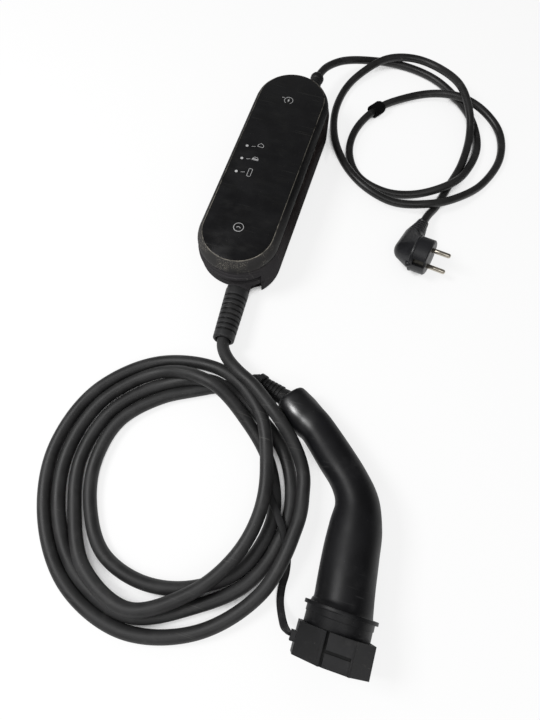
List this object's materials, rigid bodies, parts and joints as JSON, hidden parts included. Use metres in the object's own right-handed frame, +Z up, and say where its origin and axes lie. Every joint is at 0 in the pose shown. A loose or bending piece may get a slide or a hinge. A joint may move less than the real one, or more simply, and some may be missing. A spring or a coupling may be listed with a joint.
{
  "type": "portable electric vehicle charger",
  "caption": "Long rounded control box with a status panel, a mains lead with an angled plug, and a coiled vehicle lead with a capped connector.",
  "frame": {"origin": "under the middle of the control box, on the surface it lies on", "axes": "+Z up, +Y along the control box towards the mains lead, +X to the side on which the leads lie"},
  "size_m": [0.3474, 0.7039, 0.0612],
  "materials": {
    "panel": "glossy black",
    "bezel": "scuffed dark grey",
    "seal": "black",
    "case": "worn near-black",
    "steel": "bare",
    "board": "green lacquer",
    "dark_part": "moulded",
    "tape": "wound and taped",
    "terminal": "moulded",
    "lens": "clear",
    "copper": "bare and insulated copper",
    "grip_rubber": "matt",
    "mains_jacket": "dark grey sheath",
    "tie": "black hook and loop",
    "plug_shell": "satin dark grey",
    "nickel": "nickel-plated",
    "lead_jacket": "matt grey sheath",
    "handle": "satin black",
    "carrier": "moulded",
    "silver": "silver-plated",
    "cap_rubber": "matt dark grey"
  },
  "bodies": {
    "charger": {"front_panel": "panel", "front_shell": "bezel", "case_seal": "seal", "rear_shell": "case", "case_screws": "steel", "main_board": "board", "board_screws": "steel", "relays": "dark_part", "current_sensor": "dark_part", "supply_transformer": "tape", "filter_capacitors": "dark_part", "control_chips": "dark_part", "mains_terminal": "terminal", "lead_terminal": "terminal", "display_board": "board", "status_lights": "lens", "touch_sensor": "copper", "link_header": "dark_part", "mains_cores": "copper", "lead_cores": "copper", "mains_relief": "grip_rubber", "relief_nut": "dark_part", "mains_lead": "mains_jacket", "cable_tie": "tie", "plug_body": "plug_shell", "plug_pins": "nickel", "earth_clips": "nickel", "lead_boot": "grip_rubber", "boot_nut": "dark_part", "lead_start": "lead_jacket", "lead_coil": "lead_jacket", "lead_end": "lead_jacket", "connector_grommet": "grip_rubber", "connector_handle": "handle", "connector_nose": "handle", "contact_carrier": "carrier", "power_contacts": "silver", "signal_contacts": "silver", "cap_tether": "cap_rubber", "tether_ring": "cap_rubber"},
    "cap": {"connector_cap": "cap_rubber"}
  },
  "joints": [
    {"name": "cap_pull", "type": "slide", "parent": "charger", "child": "cap", "axis": [0, -1, 0], "range_m": [0, 0.045], "deforming": ["cap_tether"]}
  ]
}
